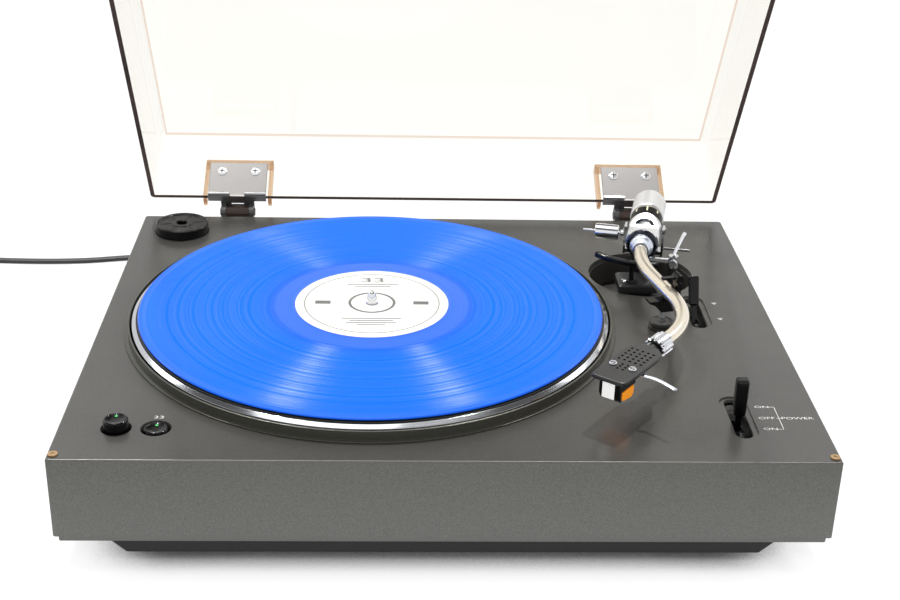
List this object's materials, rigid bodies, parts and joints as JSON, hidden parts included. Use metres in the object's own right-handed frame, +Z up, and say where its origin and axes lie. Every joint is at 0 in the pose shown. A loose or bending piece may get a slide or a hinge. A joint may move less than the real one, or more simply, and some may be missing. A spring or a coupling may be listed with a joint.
{
  "type": "belt drive turntable",
  "caption": "Record turntable with an S shaped tonearm parked on its rest, a blue record on the platter, a hinged clear lid held open, and a mains lead.",
  "frame": {"origin": "middle of the footprint of the turntable with its lid open, on the surface it stands on", "axes": "+Z up, +X to the right seen from the front, the front faces -Y"},
  "size_m": [0.6941, 0.445, 0.4154],
  "materials": {
    "plinth_paint": "satin metallic grey",
    "dark_plastic": "satin black",
    "pan_steel": "matt grey paint",
    "rubber": "matt black",
    "cast_aluminium": "turned",
    "chrome": "polished",
    "satin_silver": "satin",
    "weight_steel": "satin plated",
    "champagne_tube": "polished, warm silver",
    "gloss_black": "gloss black",
    "blue_vinyl": "gloss translucent blue",
    "cream_paper": "matt printed paper",
    "hinge_steel": "grey brown plate",
    "leaf_steel": "bright plate",
    "tan_rubber": "tan",
    "brass": "turned",
    "orange_plastic": "gloss orange",
    "clear_tint": "clear with a faint warm tint",
    "grey_cord": "dark grey flexible plastic"
  },
  "bodies": {
    "base": {"plinth_shell": "plinth_paint", "platter_surround": "plinth_paint", "base_pan": "pan_steel", "foot_front_left": "rubber", "foot_front_right": "rubber", "foot_rear_left": "rubber", "foot_rear_right": "rubber", "lid_bumper_left": "tan_rubber", "lid_bumper_right": "tan_rubber", "arm_well": "dark_plastic", "arm_base": "dark_plastic", "bearing_housing": "brass", "motor_body": "hinge_steel", "speed_switch": "dark_plastic", "power_switch": "pan_steel", "cue_bracket": "pan_steel", "hinge_bracket_left": "hinge_steel", "hinge_bracket_right": "hinge_steel", "bias_bracket": "chrome", "bias_post": "chrome", "rest_base": "dark_plastic", "rest_post": "chrome", "rest_cradle": "gloss_black", "cord_gland": "rubber", "drive_belt": "rubber", "mains_cord": "grey_cord", "cord_coil": "grey_cord", "mains_plug": "grey_cord"},
    "platter": {"platter": "cast_aluminium", "platter_mat": "rubber", "spindle_shaft": "chrome"},
    "record": {"record": "blue_vinyl", "record_label": "cream_paper"},
    "pulley": {"motor_pulley": "brass"},
    "adapter": {"speed_adapter": "dark_plastic"},
    "button_left": {"speed_button_left": "gloss_black"},
    "button_right": {"speed_button_right": "gloss_black"},
    "rocker": {"button_rocker": "satin_silver"},
    "power_lever": {"power_lever": "gloss_black"},
    "cue_lever": {"cue_lever": "gloss_black"},
    "lifter": {"lift_bar": "gloss_black"},
    "yoke": {"gimbal_yoke": "chrome", "side_rod": "chrome", "bias_rod": "chrome"},
    "side_weight": {"side_weight": "chrome"},
    "arm": {"arm_housing": "satin_silver", "arm_bell": "chrome", "arm_tube": "champagne_tube", "counterweight_stub": "chrome", "headshell": "dark_plastic", "finger_lift": "chrome", "cartridge": "gloss_black", "stylus_assembly": "orange_plastic"},
    "lock": {"locking_collar": "chrome"},
    "dial": {"force_dial": "gloss_black"},
    "counterweight": {"counterweight": "weight_steel"},
    "clip": {"rest_clip": "gloss_black"},
    "lid": {"dust_cover": "clear_tint", "hinge_leaf_left": "leaf_steel", "hinge_leaf_right": "leaf_steel"}
  },
  "joints": [
    {"name": "platter_spin", "type": "hinge", "parent": "base", "child": "platter", "pos_m": [-0.0451, -0.02965, 0.0741], "axis": [0, 0, -1], "continuous": true},
    {"name": "pulley_spin", "type": "hinge", "parent": "base", "child": "pulley", "pos_m": [-0.12093, 0.07097, 0.0681], "axis": [0, 0, -1], "continuous": true},
    {"name": "record_lift", "type": "slide", "parent": "platter", "child": "record", "axis": [0, 0, -1], "range_m": [-0.03, 0]},
    {"name": "adapter_lift", "type": "slide", "parent": "base", "child": "adapter", "axis": [0, 0, -1], "range_m": [-0.025, 0]},
    {"name": "button_left_press", "type": "slide", "parent": "base", "child": "button_left", "axis": [0, 0, -1], "range_m": [0, 0.0058]},
    {"name": "button_right_press", "type": "slide", "parent": "base", "child": "button_right", "axis": [0, 0, -1], "range_m": [-0.0058, 0]},
    {"name": "rocker_tilt", "type": "hinge", "parent": "base", "child": "rocker", "pos_m": [-0.1758, -0.17265, 0.0496], "axis": [0, -1, 0], "range_deg": [0, 29.04]},
    {"name": "power_switch_turn", "type": "hinge", "parent": "base", "child": "power_lever", "pos_m": [0.1712, -0.15655, 0.0611], "axis": [1, 0, 0], "range_deg": [-22, 22]},
    {"name": "cue_turn", "type": "hinge", "parent": "base", "child": "cue_lever", "pos_m": [0.1712, -0.01605, 0.0611], "axis": [1, 0, 0], "range_deg": [0, 48]},
    {"name": "lifter_rise", "type": "slide", "parent": "base", "child": "lifter", "axis": [0, 0, 1], "range_m": [0, 0.00144]},
    {"name": "arm_swing", "type": "hinge", "parent": "base", "child": "yoke", "pos_m": [0.1471, 0.06335, 0.1005], "axis": [0, 0, -1], "range_deg": [0, 37.5]},
    {"name": "side_weight_slide", "type": "slide", "parent": "yoke", "child": "side_weight", "axis": [-0.9751, 0.2215, 0], "range_m": [0, 0.007]},
    {"name": "arm_pitch", "type": "hinge", "parent": "yoke", "child": "arm", "pos_m": [0.1471, 0.06335, 0.1005], "axis": [-0.9751, 0.2215, 0], "range_deg": [0, 1.74]},
    {"name": "lock_turn", "type": "hinge", "parent": "arm", "child": "lock", "pos_m": [0.1269, -0.11942, 0.1005], "axis": [-0.606, -0.7955, 0], "range_deg": [0, 35]},
    {"name": "dial_turn", "type": "hinge", "parent": "arm", "child": "dial", "pos_m": [0.1471, 0.06335, 0.1005], "axis": [0.2215, 0.9751, 0], "continuous": true},
    {"name": "counterweight_slide", "type": "slide", "parent": "arm", "child": "counterweight", "axis": [0.2215, 0.9751, 0], "range_m": [0, 0.006]},
    {"name": "clip_turn", "type": "hinge", "parent": "base", "child": "clip", "pos_m": [0.15254, -0.03836, 0.10965], "axis": [-0.247, 0.969, 0], "range_deg": [0, 100]},
    {"name": "lid_turn", "type": "hinge", "parent": "base", "child": "lid", "pos_m": [0, 0.15675, 0.0726], "axis": [1, 0, 0], "range_deg": [0, 60.4]}
  ],
  "couplings": [
    {"joint": "pulley_spin", "follows": "platter_spin", "ratio": 13.333},
    {"joint": "button_right_press", "follows": "button_left_press", "ratio": -1},
    {"joint": "rocker_tilt", "follows": "button_left_press", "rad_per_m": 87.367},
    {"joint": "lifter_rise", "follows": "cue_turn", "m_per_rad": 0.0017069},
    {"joint": "arm_pitch", "follows": "cue_turn", "ratio": 0.036307}
  ]
}
